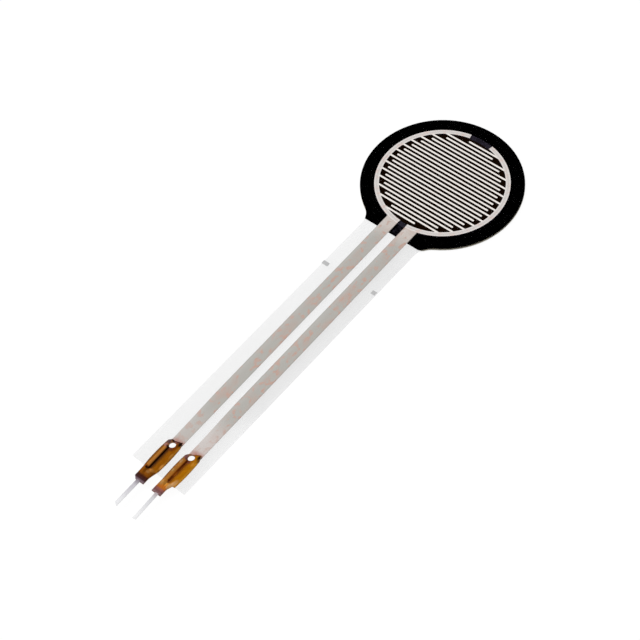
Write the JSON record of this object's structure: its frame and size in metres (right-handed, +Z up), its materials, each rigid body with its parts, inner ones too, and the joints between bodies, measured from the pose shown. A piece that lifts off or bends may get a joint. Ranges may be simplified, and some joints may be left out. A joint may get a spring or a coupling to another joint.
{
  "type": "force sensing resistor",
  "caption": "Thin force sensing resistor: round head with an interdigitated silver comb over a black print, flat clear tail with silver traces, and crimped solder terminals.",
  "frame": {"origin": "under the centre of the round head, on the lower face that the part lies on", "axes": "+Z up through the layers towards the sensing face; +Y from the tail towards the head, along the part's length; +X along the comb's fingers"},
  "size_m": [0.0182, 0.0617, 0.0009],
  "materials": {
    "clear_film": "clear polyester film",
    "clear_adhesive": "clear soft adhesive",
    "silver_print": "screen-printed silver, satin",
    "grey_print": "screen-printed grey, matt",
    "black_print": "screen-printed carbon, matt",
    "liner_paper": "coated release paper",
    "terminal_metal": "formed and tarnished, pins bright"
  },
  "bodies": {
    "root": {"release_liner": "liner_paper", "rear_adhesive": "clear_adhesive", "back_film": "clear_film", "semiconductor_ink": "black_print", "spacer_adhesive": "clear_adhesive", "left_electrode": "silver_print", "right_electrode": "silver_print", "register_marks": "grey_print", "electrode_film": "clear_film", "left_terminal": "terminal_metal", "right_terminal": "terminal_metal"}
  },
  "joints": []
}
